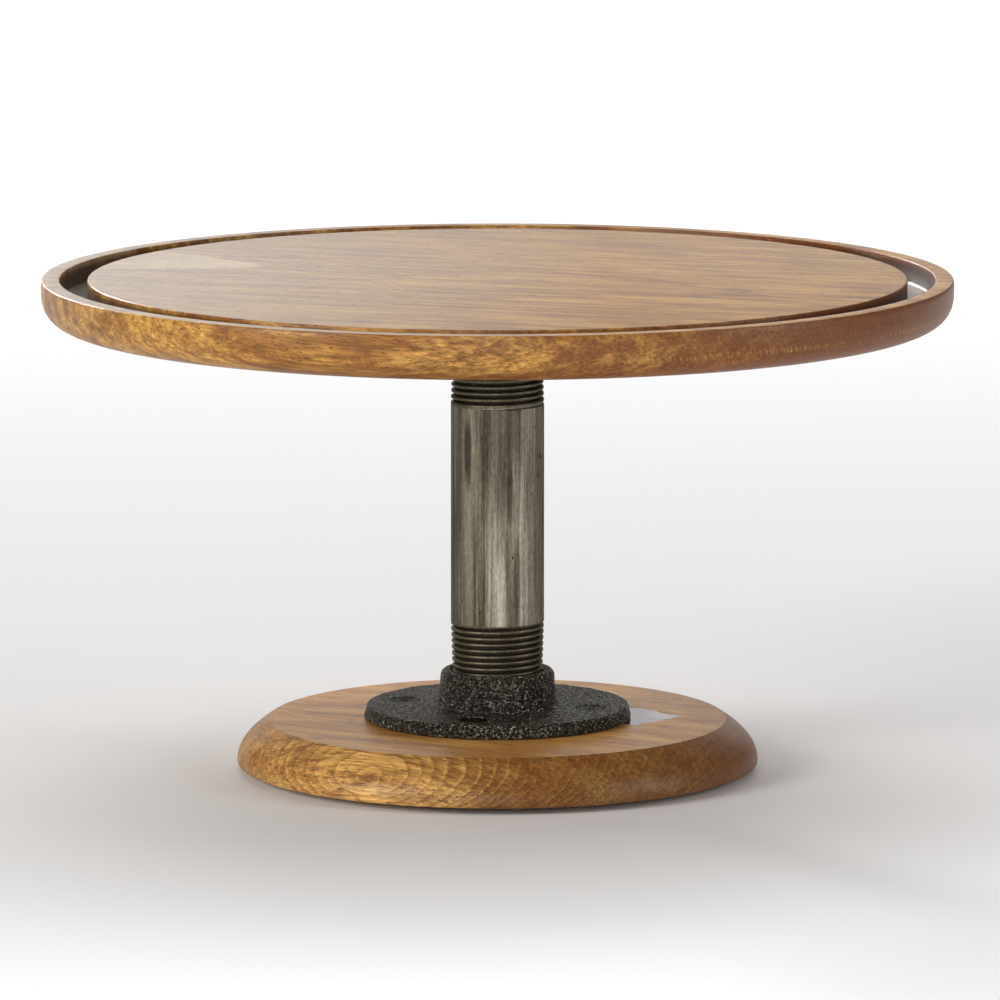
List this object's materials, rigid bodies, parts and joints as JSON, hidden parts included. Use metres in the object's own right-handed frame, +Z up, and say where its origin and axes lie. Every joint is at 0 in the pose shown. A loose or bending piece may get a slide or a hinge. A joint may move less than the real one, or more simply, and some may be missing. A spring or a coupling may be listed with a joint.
{
  "type": "cake stand",
  "caption": "Round wooden cake stand: a tray with a routed groove for a dome, on a threaded steel pipe between cast-iron floor flanges, over a round wooden base.",
  "frame": {"origin": "on the table, under the middle of the base", "axes": "+Z up along the pipe; +X to the viewer's right and -Y towards the viewer in the front view"},
  "size_m": [0.3252, 0.3252, 0.178],
  "materials": {
    "tray_wood": "satin lacquered golden-brown hardwood, growth rings cut by the top, edge and groove",
    "base_wood": "satin lacquered golden-brown hardwood",
    "pipe_steel": "bare drawn steel with lengthwise streaks, darker in the threads",
    "cast_iron": "black sand-cast iron, pebbled",
    "screw_steel": "black oxide",
    "foot_rubber": "matt"
  },
  "bodies": {
    "base_unit": {"base": "base_wood", "lower_flange": "cast_iron", "lower_screw_1": "screw_steel", "lower_screw_2": "screw_steel", "lower_screw_3": "screw_steel", "lower_screw_4": "screw_steel", "foot_1": "foot_rubber", "foot_2": "foot_rubber", "foot_3": "foot_rubber", "foot_4": "foot_rubber"},
    "stem": {"pipe_nipple": "pipe_steel"},
    "tray_unit": {"tray": "tray_wood", "upper_flange": "cast_iron", "upper_screw_1": "screw_steel", "upper_screw_2": "screw_steel", "upper_screw_3": "screw_steel", "upper_screw_4": "screw_steel"}
  },
  "joints": [
    {"name": "thread_rise", "type": "slide", "parent": "base_unit", "child": "stem", "axis": [0, 0, 1], "range_m": [0, 0.007]},
    {"name": "tray_turn", "type": "hinge", "parent": "stem", "child": "tray_unit", "pos_m": [0, 0, 0.1614], "axis": [0, 0, 1], "range_deg": [0, 1125]}
  ],
  "couplings": [
    {"joint": "thread_rise", "follows": "tray_turn", "m_per_rad": 0.00035152}
  ]
}
